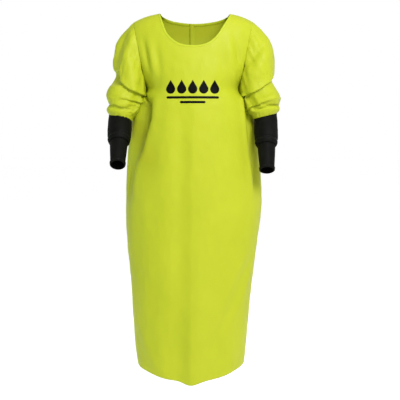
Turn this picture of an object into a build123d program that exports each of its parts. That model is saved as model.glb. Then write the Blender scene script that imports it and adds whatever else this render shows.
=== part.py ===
"""Full-length waterproof work apron with sleeves, in the shape it takes on a wearer.

The apron is cut from thin coated fabric: a front panel, two side panels that wrap round to the back, two
back panels that meet along the centre back, elbow-length sleeves, and black forearm sleeves that step in
to narrow wrist cuffs. Two hook-and-loop tabs close the back. Each soft piece is a thin closed shell of
its true outer shape.

Millimetres. +Z is up, -Y is the front, +X is the wearer's left. The origin is the middle of the neck
opening at the height of the shoulders' tops, where the wearer's shoulders carry the apron.
"""

from build123d import *

import math
import os

# ---- driving dimensions --------------------------------------------------------------------------------
FABRIC = 1.5  # wall of the yellow fabric shells
RUBBER = 3.0  # wall of the forearm sleeves
CUFF_WALL = 2.5
TAPE = 0.8  # wall of the tapes inside the seams
BINDING = 1.2  # wall of the neck binding, which lies on the panels
PRINT = 0.4  # thickness of the printed emblem

FAR = 600.0  # beyond every face of the apron
TOP = 60.0  # above every face of the apron
RING_POINTS = 24  # on each ring of a loft

HEM_Z = -1270.0  # below every point of the bottom hem
# The bottom hem, seen from in front: half of it, as x and z. It hangs lowest in the middle.
HEM = [(190.0, -1224.0), (150.0, -1233.0), (100.0, -1246.0), (50.0, -1257.0), (0.0, -1262.0)]
HEM_TAPE_HEIGHT = 25.0
FRONT_POWER = 2.2  # every level of the body is a superellipse, of this power in front
BACK_POWER = 3.0  # and of this power behind, where it is flatter
ARMHOLE_FOOT = -262.0  # the side seams start below this

# The back panels swing on upright seams at this x, where the outer face stands at this y.
HINGE_X = 110.0
HINGE_Y = 92.0
HINGE_GAP = 1.5
BACK_EDGE_X = 2.0  # half the gap between the two back panels

# Levels of the body's outer face: z, half width, front depth, y of the widest line, back depth.
# Where the back depth is None, it is worked out so that the outer face passes through the hinge seam.
BODY_LEVELS = [
    (4.0, 96.0, 66.0, 0.0, 60.0),
    (-2.0, 128.0, 76.0, 0.0, 68.0),
    (-14.0, 184.0, 86.0, 0.0, 76.0),
    (-36.0, 222.0, 96.0, 0.0, 84.0),
    (-70.0, 236.0, 105.0, 0.0, 92.0),
    (-115.0, 230.0, 114.0, 0.0, None),
    (-165.0, 212.0, 123.0, 2.0, None),
    (-215.0, 184.0, 129.0, 6.0, None),
    (-262.0, 157.0, 133.0, 12.0, None),
    (-300.0, 172.0, 136.0, 20.0, None),
    (-350.0, 199.0, 138.0, 30.0, None),
    (-430.0, 220.0, 140.0, 42.0, None),
    (-540.0, 235.0, 142.0, 38.0, None),
    (-660.0, 238.0, 143.0, 28.0, None),
    (-790.0, 230.0, 144.0, 18.0, None),
    (-930.0, 215.0, 145.0, 10.0, None),
    (-1080.0, 202.0, 146.0, 5.0, None),
    (HEM_Z, 190.0, 148.0, 0.0, None),
]

# The neck opening, seen from in front: half of each edge, as x and z.
NECK_FRONT = [(124.0, 0.0), (105.0, -42.0), (84.0, -81.0), (52.0, -109.0), (0.0, -119.0)]
NECK_BACK = [(124.0, 0.0), (92.0, -13.0), (46.0, -22.0), (0.0, -25.0)]
BINDING_WIDTH = 11.0

# The armhole lies in a leaning plane through these two levels, as x and z.
ARMHOLE_TOP = (205.0, -22.0)
ARMHOLE_BOTTOM = (159.0, -262.0)
SLEEVE_POWER = 2.2

# Rings of the left sleeve: outer x and z, inner x and z, y of the middle, half depth.
SLEEVE_RINGS = [
    (208.0, -26.0, 162.0, -260.0, 0.0, 80.0),
    (250.0, -68.0, 167.0, -268.0, -3.0, 88.0),
    (275.0, -140.0, 173.0, -279.0, -8.0, 88.0),
    (273.0, -205.0, 181.0, -296.0, -14.0, 79.0),
    (300.0, -262.0, 190.0, -316.0, -20.0, 80.0),
    (299.0, -305.0, 200.0, -340.0, -26.0, 70.0),
    (294.0, -341.0, 208.0, -367.0, -30.0, 49.0),
]
SLEEVE_SPLIT = 3  # the ring where the upper and the lower length meet
ELASTIC = (-16.0, -3.0)  # where the elastic lies, along the sleeve from its hem
ELASTIC_WALL = 1.4

ELBOW_GAP = 2.0  # between the sleeve's hem and the forearm sleeve, which moves
FOREARM_TOP = (251.0, -30.0, -354.0)  # middle of the sleeve's hem
FOREARM_LEAN = {"left": 26.0, "right": 36.0}  # degrees that the forearm leans forward
# Rings down the forearm: distance from the top, half width across, half depth.
FOREARM_RINGS = [
    (-45.0, 39.5, 43.0),
    (10.0, 40.5, 43.0),
    (50.0, 41.0, 42.5),
    (92.0, 40.0, 41.0),
    (104.0, 37.5, 39.0),
    (114.0, 33.5, 35.5),
]
CUFF_RINGS = [
    (102.0, 30.0, 32.0),
    (116.0, 30.2, 32.2),
    (160.0, 27.5, 30.0),
    (205.0, 24.5, 27.5),
]
CUFF_BAND = 9.0  # width of the band round the wrist end
CUFF_BAND_WALL = 1.0

TAPE_HALF_WIDTH = 9.0

# Tabs: bottom and top z. Each is sewn to the left back panel and laps over the right one.
TABS = {"neck": (-78.0, -46.0), "waist": (-466.0, -428.0)}
TAB_TIP_X = -62.0
TAB_ROOT_X = 24.0
TAB_WALL = 1.2
PATCH = 0.8  # thickness of a hook patch and of a loop patch
PATCH_GAP = 0.3  # between the two patches
PATCH_X = (-57.0, -17.0)
PATCH_MARGIN = 3.0

# The emblem: a row of water drops above two bars.
DROP_COUNT = 5
DROP_SPACING = 37.0
DROP_RADIUS = 15.5
DROP_Z = -266.0  # middle of each drop's round end
BARS = [(-290.0, 88.0), (-306.0, 43.0)]  # top z and half length
BAR_HEIGHT = 8.0


# ---- helpers -------------------------------------------------------------------------------------------
def save(name, shape):
    """Writes one node's solids to parts/NAME.step."""
    solids = shape.solids()
    export_step(solids[0] if len(solids) == 1 else Compound(children=solids), f"parts/{name}.step")


def save_pair(name, left):
    """Writes a left-hand shape and its mirror image."""
    save(f"left_{name}", left)
    save(f"right_{name}", mirrored(left))


def save_cuts(name, shape, left_region):
    """Writes what a left-hand region and its mirror image each cut from one shape."""
    save(f"left_{name}", shape & left_region)
    save(f"right_{name}", shape & mirrored(left_region))


def mirrored(shape):
    return mirror(shape, about=Plane.YZ)


def block(x0, x1, y0, y1, z0, z1):
    return Pos((x0 + x1) / 2, (y0 + y1) / 2, (z0 + z1) / 2) * Box(x1 - x0, y1 - y0, z1 - z0)


def superellipse(power, back_power=None):
    """Points of a unit superellipse, from +Y round. Its +Y half may have a power of its own."""
    points = []
    for i in range(RING_POINTS):
        t = math.pi / 2 + 2 * math.pi * i / RING_POINTS
        c, s = round(math.cos(t), 9), round(math.sin(t), 9)
        p = back_power if back_power and s > 0 else power
        points.append((math.copysign(abs(c) ** (2 / p), c), math.copysign(abs(s) ** (2 / p), s)))
    return points


def ring(points):
    """A smooth closed wire. Even parameters keep every ring of a loft alike, and its faces light."""
    parameters = [i / len(points) for i in range(len(points) + 1)]
    curve = Edge.make_spline([Vector(*p) for p in points], periodic=True, parameters=parameters)
    return Wire([curve])


def prism_y(outline, y0, y1):
    """A straight-sided outline of x and z, extruded from y0 to y1."""
    face = Face(Wire.make_polygon([Vector(x, y0, z) for x, z in outline], close=True))
    return extrude(face, amount=y1 - y0, dir=(0, 1, 0))


# ---- body ----------------------------------------------------------------------------------------------
def back_depth(half_width, y_mid):
    share = (HINGE_X / half_width) ** BACK_POWER
    return y_mid + (HINGE_Y - y_mid) / (1 - share) ** (1 / BACK_POWER)


def body_ring(level, grow):
    """One level of the body, grown outward, and upward too, so that the shoulders thicken."""
    z, half_width, front, y_mid, back = level
    if back is None:
        back = back_depth(half_width, y_mid)
    points = []
    for x, y in superellipse(FRONT_POWER, BACK_POWER):
        reach = front + y_mid if y < 0 else back - y_mid
        points.append((x * (half_width + grow), y_mid + y * (reach + grow), z + grow))
    return ring(points)


def body_solid(grow):
    """The filled body, its outer face grown by grow. It runs on below the hem."""
    z, half_width, front, y_mid, back = BODY_LEVELS[-1]
    below = (z - 40.0, half_width - 3.0, front, y_mid, back)
    return Solid.make_loft([body_ring(level, grow) for level in BODY_LEVELS + [below]])


def neck_side(half_edge, extra, y0, y1):
    """What one side of the neck opening removes, its edge moved outward by extra."""
    edge = [(x + extra * (x > 0), z - extra) for x, z in half_edge]
    curve = [Vector(-x, y0, z) for x, z in edge] + [Vector(x, y0, z) for x, z in reversed(edge[:-1])]
    left, right = curve[0], curve[-1]
    outline = [
        Edge.make_spline(curve),
        Edge.make_line(right, (right.X, y0, TOP)),
        Edge.make_line((right.X, y0, TOP), (left.X, y0, TOP)),
        Edge.make_line((left.X, y0, TOP), left),
    ]
    return extrude(Face(Wire(outline)), amount=y1 - y0, dir=(0, 1, 0))


def neck_hole(extra=0.0):
    return neck_side(NECK_FRONT, extra, -FAR, 0.0) + neck_side(NECK_BACK, extra, 0.0, FAR)


def above_hem(height):
    """Everything above the curve of the bottom hem raised by height."""
    right_half = [Vector(x, -FAR, z + height) for x, z in HEM]
    left_half = [Vector(-p.X, p.Y, p.Z) for p in reversed(right_half[:-1])]
    curve = right_half + left_half
    start, end = curve[0], curve[-1]
    corners = [(-FAR, end.Z), (-FAR, TOP), (FAR, TOP), (FAR, start.Z)]
    outline = [end] + [Vector(x, -FAR, z) for x, z in corners] + [start]
    edges = [Edge.make_spline(curve)]
    edges += [Edge.make_line(a, b) for a, b in zip(outline, outline[1:])]
    return extrude(Face(Wire(edges)), amount=2 * FAR, dir=(0, 1, 0))


def armhole_block():
    """Everything outboard of the left armhole."""
    (top_x, top_z), (bottom_x, bottom_z) = ARMHOLE_TOP, ARMHOLE_BOTTOM
    slope = (top_x - bottom_x) / (top_z - bottom_z)
    outline = [
        (bottom_x, bottom_z),
        (FAR, bottom_z),
        (FAR, TOP),
        (top_x + slope * (TOP - top_z), TOP),
    ]
    return prism_y(outline, -FAR, FAR)


def layer(inner_grow, outer_grow):
    """The body's material between two grown faces, with the neck and both armholes open."""
    arm = armhole_block()
    shell = body_solid(outer_grow) - body_solid(inner_grow)
    return (shell & above_hem(0.0)) - neck_hole() - arm - mirrored(arm)


def left_side_region():
    """From the shoulder and side seams, which lie at y = 0, round to the back panel."""
    return block(HINGE_X, FAR, 0.0, FAR, HEM_Z, TOP)


def front_region():
    return block(-FAR, FAR, -FAR, 0.0, HEM_Z, TOP)


def left_back_region():
    return block(BACK_EDGE_X, HINGE_X - HINGE_GAP, 0.0, FAR, HEM_Z, TOP)


def make_panels(fabric):
    save("front_panel", fabric & front_region())
    save_cuts("side_panel", fabric, left_side_region())
    save_cuts("back_panel", fabric, left_back_region())


def make_neck_binding(outer):
    """A strip round the neck edge, cut where the back panels swing."""
    strip = outer & neck_hole(BINDING_WIDTH)
    ahead = block(-FAR, FAR, -FAR, 0.0, -FAR, TOP)
    beside = block(HINGE_X, FAR, 0.0, FAR, -FAR, TOP)
    save("neck_binding", strip & (ahead + beside + mirrored(beside)))
    save_cuts("back_binding", strip, left_back_region())


def make_tapes(inner):
    """Sealing tapes inside the shoulder seams, the side seams and the hem."""
    half = TAPE_HALF_WIDTH
    shoulder = block(NECK_FRONT[0][0] + 6.0, FAR, -half, half, -90.0, TOP)
    save_cuts("shoulder_tape", inner, shoulder)
    side = block(0.0, FAR, -half, half, HEM_Z, ARMHOLE_FOOT - 20.0)
    save_cuts("side_tape", inner & above_hem(HEM_TAPE_HEIGHT), side)
    hem = block(-FAR, FAR, -FAR, -half, HEM_Z, ARMHOLE_FOOT) - above_hem(HEM_TAPE_HEIGHT)
    save("front_hem_tape", inner & hem)


def drop(x, z, radius, y0, y1):
    """A water drop: a disc with a pointed top."""
    disc = Pos(x, y0, z) * Rot(-90, 0, 0) * extrude(Circle(radius), amount=y1 - y0)
    shoulder = radius * math.cos(math.radians(30))
    lift = radius * math.sin(math.radians(30))
    tip = [(x - shoulder, z + lift), (x + shoulder, z + lift), (x, z + 2 * radius)]
    return disc + prism_y(tip, y0, y1)


def make_emblem(film):
    near, far = -FAR, 0.0
    shapes = []
    for i in range(DROP_COUNT):
        x = DROP_SPACING * (i - (DROP_COUNT - 1) / 2)
        shapes.append(drop(x, DROP_Z, DROP_RADIUS, near, far))
    for z, half_length in BARS:
        shapes.append(block(-half_length, half_length, near, far, z - BAR_HEIGHT, z))
    pieces = []
    for shape in shapes:
        pieces += (film & shape).solids()
    save("printed_emblem", Compound(children=pieces))


# ---- back tabs -----------------------------------------------------------------------------------------
def make_tabs(loop_layer, hook_layer, tab_layer):
    """Each tab swings on its sewn end. Its hook patch meets a loop patch on the right back panel."""
    for name, (bottom, top) in TABS.items():
        tab = block(TAB_TIP_X, TAB_ROOT_X, 0.0, FAR, bottom, top)
        patch = block(*PATCH_X, 0.0, FAR, bottom + PATCH_MARGIN, top - PATCH_MARGIN)
        save(f"{name}_tab", tab_layer & tab)
        save(f"{name}_hook_patch", hook_layer & patch)
        save(f"{name}_loop_patch", loop_layer & patch)


# ---- sleeves -------------------------------------------------------------------------------------------
def sleeve_ring(row, grow):
    """A ring in the plane through its outer and inner points and the Y direction."""
    outer_x, outer_z, inner_x, inner_z, y_mid, half_depth = row
    half = math.hypot(outer_x - inner_x, outer_z - inner_z) / 2
    along_x, along_z = (outer_x - inner_x) / (2 * half), (outer_z - inner_z) / (2 * half)
    points = []
    for u, v in superellipse(SLEEVE_POWER):
        reach = u * (half + grow)
        x = (outer_x + inner_x) / 2 + along_x * reach
        z = (outer_z + inner_z) / 2 + along_z * reach
        points.append((x, y_mid + v * (half_depth + grow), z))
    return ring(points)


def sleeve_solid(grow):
    """The filled sleeve, in an upper and a lower length that meet at one ring."""
    rings = [sleeve_ring(row, grow) for row in SLEEVE_RINGS]
    return Solid.make_loft(rings[: SLEEVE_SPLIT + 1]) + Solid.make_loft(rings[SLEEVE_SPLIT:])


def hem_slab(start, end):
    """The slab across the left sleeve's hem, between two distances past the hem."""
    outer_x, outer_z, inner_x, inner_z = SLEEVE_RINGS[-1][:4]
    length = math.hypot(outer_x - inner_x, outer_z - inner_z)
    ux, uz = (outer_x - inner_x) / length, (outer_z - inner_z) / length
    ends = [(outer_x + FAR * ux, outer_z + FAR * uz), (inner_x - FAR * ux, inner_z - FAR * uz)]
    outline = [(x + start * uz, z - start * ux) for x, z in ends]
    outline += [(x + end * uz, z - end * ux) for x, z in reversed(ends)]
    return prism_y(outline, -FAR, FAR)


def make_sleeves():
    save_pair("sleeve", sleeve_solid(0.0) - sleeve_solid(-FABRIC))
    band = sleeve_solid(-FABRIC) - sleeve_solid(-FABRIC - ELASTIC_WALL)
    save_pair("sleeve_elastic", band & hem_slab(*ELASTIC))


# ---- forearm sleeves -----------------------------------------------------------------------------------
def forearm_loft(side, rows, grow):
    """A tube down the forearm, built for the left arm with the lean of the side named."""
    lean = math.radians(FOREARM_LEAN[side])
    down = (0.0, -math.sin(lean), -math.cos(lean))
    arm = Plane(origin=FOREARM_TOP, x_dir=(1, 0, 0), z_dir=down)
    rings = []
    for distance, half_width, half_depth in rows:
        local = [
            (u * (half_width + grow), v * (half_depth + grow), distance)
            for u, v in superellipse(2.0)
        ]
        rings.append(ring([arm.from_local_coords(p) for p in local]))
    return Solid.make_loft(rings)


def across_forearm(side, start, end):
    """The slab across the forearm between two distances from its top."""
    lean = math.radians(FOREARM_LEAN[side])
    down = (0.0, -math.sin(lean), -math.cos(lean))
    arm = Plane(origin=FOREARM_TOP, x_dir=(1, 0, 0), z_dir=down)
    return arm * Pos(0, 0, (start + end) / 2) * Box(2 * FAR, 2 * FAR, end - start)


def make_forearm(side):
    place = mirrored if side == "right" else (lambda shape: shape)
    tube = forearm_loft(side, FOREARM_RINGS, 0.0) - forearm_loft(side, FOREARM_RINGS, -RUBBER)
    save(f"{side}_forearm_sleeve", place(tube & hem_slab(ELBOW_GAP, FAR)))
    cuff = forearm_loft(side, CUFF_RINGS, 0.0) - forearm_loft(side, CUFF_RINGS, -CUFF_WALL)
    save(f"{side}_wrist_cuff", place(cuff))
    end = CUFF_RINGS[-1][0]
    band = forearm_loft(side, CUFF_RINGS, CUFF_BAND_WALL) - forearm_loft(side, CUFF_RINGS, 0.0)
    save(f"{side}_cuff_band", place(band & across_forearm(side, end - CUFF_BAND, end)))


def main():
    os.makedirs("parts", exist_ok=True)
    make_panels(layer(-FABRIC, 0.0))
    make_neck_binding(layer(0.0, BINDING))
    make_tapes(layer(-FABRIC - TAPE, -FABRIC))
    make_emblem(layer(0.0, PRINT))
    hook_start = PATCH + PATCH_GAP
    hook_end = hook_start + PATCH
    make_tabs(layer(0.0, PATCH), layer(hook_start, hook_end), layer(hook_end, hook_end + TAB_WALL))
    make_sleeves()
    for side in FOREARM_LEAN:
        make_forearm(side)


main()
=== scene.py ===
"""Waterproof work apron with sleeves, in the shape it takes on a wearer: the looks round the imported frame.

Metres. +Z is up, -Y is the front, +X is the wearer's left. The cloth follows levels of the body, its folds
are moved out of that surface, and every seam, tape, stitch and print is laid on the cloth itself.
"""

import math

import bmesh
import bpy
import numpy as np
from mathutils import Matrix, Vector, noise
from mathutils.bvhtree import BVHTree


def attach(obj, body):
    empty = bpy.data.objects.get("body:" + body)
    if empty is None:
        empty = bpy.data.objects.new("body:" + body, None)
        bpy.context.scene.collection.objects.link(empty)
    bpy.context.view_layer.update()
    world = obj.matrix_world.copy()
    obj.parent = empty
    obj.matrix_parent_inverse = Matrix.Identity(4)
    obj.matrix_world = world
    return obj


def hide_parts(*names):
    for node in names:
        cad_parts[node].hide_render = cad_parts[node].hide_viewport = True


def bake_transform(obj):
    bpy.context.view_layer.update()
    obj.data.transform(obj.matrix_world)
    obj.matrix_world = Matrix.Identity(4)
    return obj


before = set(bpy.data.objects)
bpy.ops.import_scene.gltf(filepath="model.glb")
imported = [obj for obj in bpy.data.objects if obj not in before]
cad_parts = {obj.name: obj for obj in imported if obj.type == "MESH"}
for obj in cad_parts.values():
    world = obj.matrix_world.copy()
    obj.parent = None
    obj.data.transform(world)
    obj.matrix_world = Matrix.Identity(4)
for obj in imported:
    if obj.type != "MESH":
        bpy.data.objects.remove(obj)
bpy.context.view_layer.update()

MM = 0.001
SIDES = {"left": 1, "right": -1}  # the wearer's sides, with the sign of x on each

# ---- sizes ----
CLOTH = 0.8 * MM  # thickness of the yellow fabric
GRID = 5.0 * MM  # spacing of the body's mesh

FRONT_POWER = 2.2  # each level of the body is a superellipse, of this power in front
BACK_POWER = 3.0  # and of this power behind
HINGE_X = 0.110  # the back panels swing about upright seams here
HINGE_Y = 0.092
BACK_SEAM_X = 0.130  # where the side cloth meets the back cloth
BACK_EDGE_X = 0.002
UNDERLAP = [(-0.002, -0.0008), (-0.005, -0.0018), (-0.010, -0.0020), (-0.014, -0.0020)]  # x and y off the edge
EDGE_WELD = 0.3 * MM  # points nearer than this along a trimmed edge are joined

# Levels of the body: z, half width, front y, y of the widest line, back y, sideways drift.
# Where the back y is None, the level passes through the hinge seam.
BODY_LEVELS = [
    (0.000, 0.098, -0.066, 0.000, 0.060, 0.004),
    (-0.004, 0.130, -0.076, 0.000, 0.068, 0.004),
    (-0.019, 0.184, -0.086, 0.000, 0.076, 0.003),
    (-0.042, 0.220, -0.096, 0.000, 0.084, 0.002),
    (-0.074, 0.234, -0.105, 0.000, 0.092, 0.000),
    (-0.115, 0.230, -0.114, 0.000, None, 0.000),
    (-0.165, 0.212, -0.122, 0.002, None, 0.000),
    (-0.215, 0.184, -0.128, 0.006, None, 0.000),
    (-0.262, 0.160, -0.132, 0.014, None, 0.000),
    (-0.300, 0.194, -0.135, 0.034, None, 0.000),
    (-0.350, 0.214, -0.137, 0.054, None, 0.001),
    (-0.430, 0.2275, -0.138, 0.058, None, 0.002),
    (-0.540, 0.236, -0.140, 0.044, None, 0.002),
    (-0.681, 0.239, -0.141, 0.028, None, 0.001),
    (-0.786, 0.2285, -0.142, 0.018, None, -0.003),
    (-0.930, 0.213, -0.143, 0.010, None, -0.006),
    (-1.080, 0.200, -0.144, 0.005, None, -0.008),
    (-1.206, 0.188, -0.146, 0.001, None, -0.009),
    (-1.290, 0.176, -0.147, 0.000, None, -0.009),
]

# Half of each neck edge and of the hem, seen from in front, as x and z.
NECK_FRONT = [(0.124, 0.000), (0.105, -0.042), (0.084, -0.081), (0.052, -0.109), (0.000, -0.119)]
NECK_BACK = [(0.124, 0.000), (0.092, -0.013), (0.046, -0.022), (0.000, -0.025)]
NECK_LEAN = 0.008  # the neck opening leans this far to the wearer's left at the top
HEM = [(0.200, -1.205), (0.178, -1.221), (0.150, -1.231), (0.100, -1.2445), (0.045, -1.254), (0.000, -1.266)]

ARMHOLE_TOP = (0.205, -0.030)
ARMHOLE_BOTTOM = (0.159, -0.262)

# Rings of each sleeve below the armhole, as x is outboard: outer x and z, inner x and z, middle y, half depth.
SLEEVE_RINGS = {
    "right": [
        (0.238, -0.060, 0.160, -0.268, -0.001, 0.084),
        (0.266, -0.098, 0.162, -0.277, -0.004, 0.090),
        (0.278, -0.150, 0.167, -0.288, -0.008, 0.090),
        (0.270, -0.206, 0.174, -0.301, -0.013, 0.080),
        (0.283, -0.238, 0.182, -0.315, -0.017, 0.080),
        (0.299, -0.271, 0.190, -0.331, -0.021, 0.078),
        (0.291, -0.308, 0.202, -0.345, -0.026, 0.067),
        (0.296, -0.332, 0.207, -0.361, -0.029, 0.057),
        (0.289, -0.350, 0.210, -0.371, -0.030, 0.049),
    ],
    "left": [
        (0.240, -0.055, 0.160, -0.268, -0.001, 0.084),
        (0.268, -0.092, 0.162, -0.277, -0.004, 0.090),
        (0.282, -0.156, 0.167, -0.288, -0.008, 0.090),
        (0.275, -0.224, 0.174, -0.302, -0.013, 0.080),
        (0.283, -0.246, 0.181, -0.315, -0.017, 0.080),
        (0.300, -0.270, 0.188, -0.329, -0.021, 0.079),
        (0.299, -0.312, 0.198, -0.343, -0.026, 0.067),
        (0.297, -0.333, 0.204, -0.354, -0.029, 0.057),
        (0.288, -0.345, 0.209, -0.364, -0.030, 0.049),
    ],
}
SLEEVE_POWER = 2.2
SLEEVE_COLUMNS = 120
SLEEVE_ROWS = 84
SLEEVE_FINE_ROWS = 150
# Where the slack of each sleeve laps over itself: place down the sleeve, rise towards the armpit, width, lap,
# standing height, middle round the sleeve (0.25 is in front) and spread.
OVERHANGS = {
    "left": [
        (0.575, 0.10, 0.050, 0.036, 0.0070, 0.28, 0.34),
        (0.79, 0.05, 0.026, 0.018, 0.0042, 0.33, 0.13),
        (0.86, 0.02, 0.018, 0.011, 0.0026, 0.14, 0.09),
        (0.72, 0.03, 0.020, 0.012, 0.0028, 0.72, 0.14),
    ],
    "right": [
        (0.525, 0.14, 0.052, 0.038, 0.0072, 0.28, 0.34),
        (0.71, 0.12, 0.026, 0.020, 0.0052, 0.36, 0.11),
        (0.84, 0.06, 0.022, 0.014, 0.0034, 0.20, 0.12),
        (0.66, 0.03, 0.020, 0.012, 0.0028, 0.74, 0.14),
    ],
}
# Soft creases on the front of each sleeve, as x is outboard: the ends' x and z, height and width.
SLEEVE_CREASES = {
    "left": [
        (0.244, -0.104, 0.172, -0.200, -0.0055, 0.010),
        (0.262, -0.130, 0.196, -0.222, 0.0035, 0.016),
        (0.212, -0.302, 0.288, -0.279, 0.0065, 0.012),
        (0.215, -0.332, 0.288, -0.308, -0.0045, 0.007),
    ],
    "right": [
        (0.268, -0.040, 0.270, -0.235, -0.0200, 0.036),
        (0.214, -0.060, 0.208, -0.135, 0.0050, 0.013),
        (0.212, -0.112, 0.172, -0.215, -0.0055, 0.011),
        (0.238, -0.128, 0.190, -0.245, 0.0035, 0.014),
        (0.186, -0.287, 0.262, -0.298, -0.0035, 0.007),
        (0.196, -0.318, 0.270, -0.326, -0.0035, 0.008),
    ],
}

FOREARM_TOP = (0.251, -0.030, -0.354)
FOREARM_LEAN = {"left": math.radians(26.0), "right": math.radians(36.0)}
# Rings down the forearm sleeve and the cuff: distance from the top, half width, half depth.
FOREARM_RINGS = [
    (-0.026, 0.0375, 0.0410),
    (0.010, 0.0400, 0.0425),
    (0.040, 0.0410, 0.0425),
    (0.075, 0.0405, 0.0415),
    (0.091, 0.0395, 0.0405),
    (0.096, 0.0390, 0.0400),
    (0.104, 0.0385, 0.0395),
    (0.110, 0.0365, 0.0380),
    (0.1145, 0.0330, 0.0350),
]
CUFF_RINGS = [
    (0.100, 0.0300, 0.0320),
    (0.116, 0.0302, 0.0322),
    (0.140, 0.0290, 0.0312),
    (0.175, 0.0265, 0.0292),
    (0.205, 0.0245, 0.0275),
]
FOREARM_STEP = 0.094  # the groove above the step to the cuff
NEOPRENE = 2.6 * MM
CUFF_WALL = 2.2 * MM
CUFF_END = 0.205
CUFF_BAND = 0.009
BAND_WALL = 0.9 * MM
BAND_RISE = 1.1 * MM  # how far the band stands out of the cuff
TUBE_COLUMNS = 96
THREAD_ROWS = (0.86, 0.895)  # places down the forearm sleeve of its two rows of stitches
BAND_THREAD_ROW = 5

# Tabs: bottom and top z. Each is sewn to the left back panel and laps over the right one.
TABS = {"neck": (-0.078, -0.046), "waist": (-0.466, -0.428)}
TAB_TIP_X = -0.062
TAB_ROOT_X = 0.024
PATCH_X = (-0.057, -0.017)
PATCH_MARGIN = 0.003
PATCH_RADIUS = 0.003
TAB_RADIUS = 0.008
TAB_SEWN_X = 0.009  # the tab is sewn down from here to its root
TAB_STITCH_INSET = 0.003
PATCH = 0.8 * MM
PATCH_GAP = 0.3 * MM
TAB_WALL = 1.2 * MM

DROP_COUNT = 5
DROP_SPACING = 0.037
DROP_RADIUS = 0.0155
DROP_Z = -0.266
BARS = [(-0.290, 0.088), (-0.306, 0.043)]  # top z and half length
BAR_HEIGHT = 0.008
PRINT = 0.3 * MM

NECK_HOLE = np.array((0.0, 0.0, 0.08))  # a point in the middle of the neck opening
NECK_BINDING = (0.007, 0.0052)  # width, and the stitches' distance from the edge
BACK_BINDING = (0.010, 0.0078)
BINDING_WALL = 0.3 * MM
BINDING_RISE = CLOTH / 2 + BINDING_WALL / 2 + 0.05 * MM
TAPE_WIDTH = 0.018
TAPE_WALL = 0.3 * MM
TAPE_LIFT = -(CLOTH / 2 + 0.25 * MM)  # the tapes lie inside
SIDE_TAPE = (-0.29, -1.18)  # top and bottom z
FACING_WIDTH = 0.021
FACING_WALL = 0.4 * MM
HEM_ROWS = (0.0145, 0.022, 0.0035)  # height above the hem of the facing's middle and of both rows of stitches

STITCH_LENGTH = 3.0 * MM
STITCH_PITCH = 4.2 * MM
STITCH_WIDTH = 0.7 * MM


# ---- curves and tables ----
def hermite(keys, values, at):
    """A smooth curve through values, one at each key, read at other keys."""
    keys, values, at = np.asarray(keys, float), np.asarray(values, float), np.asarray(at, float)
    slopes = np.gradient(values, keys, axis=0)
    i = np.clip(np.searchsorted(keys, at, side="right") - 1, 0, len(keys) - 2)
    h = keys[i + 1] - keys[i]
    t = (at - keys[i]) / h
    shape = (-1,) + (1,) * (values.ndim - 1)
    h, t = h.reshape(shape), t.reshape(shape)
    a = (2 * t**3 - 3 * t**2 + 1) * values[i] + (t**3 - 2 * t**2 + t) * h * slopes[i]
    b = (-2 * t**3 + 3 * t**2) * values[i + 1] + (t**3 - t**2) * h * slopes[i + 1]
    return a + b


def running_length(points):
    steps = np.linalg.norm(np.diff(points, axis=0), axis=1)
    return np.concatenate([[0.0], np.cumsum(steps)])


def resample(points, count):
    """The same line with evenly spaced points."""
    points = np.asarray(points, float)
    along = running_length(points)
    at = np.linspace(0.0, along[-1], count)
    return np.stack([np.interp(at, along, points[:, k]) for k in range(points.shape[1])], axis=1)


def smooth_line(points, count):
    points = np.asarray(points, float)
    along = running_length(points)
    return hermite(along, points, np.linspace(0.0, along[-1], count))


def smoothstep(low, high, x):
    t = np.clip((x - low) / (high - low), 0.0, 1.0)
    return t * t * (3 - 2 * t)


def mirrored_edge(half_edge):
    """A whole edge from -X to +X, from its half that ends in the middle."""
    left_to_middle = [(-x, z) for x, z in half_edge]
    middle_to_right = list(reversed(half_edge[:-1]))
    return smooth_line(left_to_middle + middle_to_right, 400)


NECK_FRONT_LINE = mirrored_edge(NECK_FRONT)
NECK_BACK_LINE = mirrored_edge(NECK_BACK)
HEM_LINE = mirrored_edge(HEM)


def line_z(line, x, beyond):
    return np.interp(x, line[:, 0], line[:, 1], left=beyond, right=beyond)


def neck_z(x, y, z):
    """Height of the neck edge at x, in front or behind. Beyond the opening it is far above."""
    x = x - NECK_LEAN * smoothstep(-0.08, 0.0, z)
    front = line_z(NECK_FRONT_LINE, x, 1.0)
    back = line_z(NECK_BACK_LINE, x, 1.0)
    return np.where(y < 0, front, back)


def hem_z(x):
    drift = BODY_LEVELS[-1][5]
    return line_z(HEM_LINE, x - drift, HEM[0][1])


def armhole_x(z):
    (top_x, top_z), (bottom_x, bottom_z) = ARMHOLE_TOP, ARMHOLE_BOTTOM
    return bottom_x + (top_x - bottom_x) * (z - bottom_z) / (top_z - bottom_z)


# ---- the body's surface ----
def body_profile():
    """The levels, made smooth and close together."""
    rows = []
    for z, half, front, middle, back, drift in BODY_LEVELS:
        if back is None:
            share = (HINGE_X / half) ** BACK_POWER
            back = middle + (HINGE_Y - middle) / (1 - share) ** (1 / BACK_POWER)
        rows.append((z, half, front, middle, back, drift))
    rows = np.array(rows)
    along = running_length(rows[:, :2])
    count = int(along[-1] / GRID) + 1
    return hermite(along, rows, np.linspace(0.0, along[-1], count))


PROFILE = body_profile()


def level_at(z):
    """half width, front y, middle y, back y and drift at each z."""
    order = PROFILE[::-1]
    return [np.interp(z, order[:, 0], order[:, k]) for k in range(1, 6)]


def body_y(x, z, behind):
    """The plain body's y at x and z, in front or behind, before any fold."""
    half, front, middle, back, drift = level_at(z)
    share = np.clip(np.abs((x - drift) / half), 0.0, 1.0)
    if behind:
        return middle + (back - middle) * (1 - share**BACK_POWER) ** (1 / BACK_POWER)
    return middle + (front - middle) * (1 - share**FRONT_POWER) ** (1 / FRONT_POWER)


FRONT_COLUMNS = 68  # on each side, from the middle to the shoulder and side seam, where y is 0
SIDE_COLUMNS = 34
BACK_COLUMNS = 26


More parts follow.
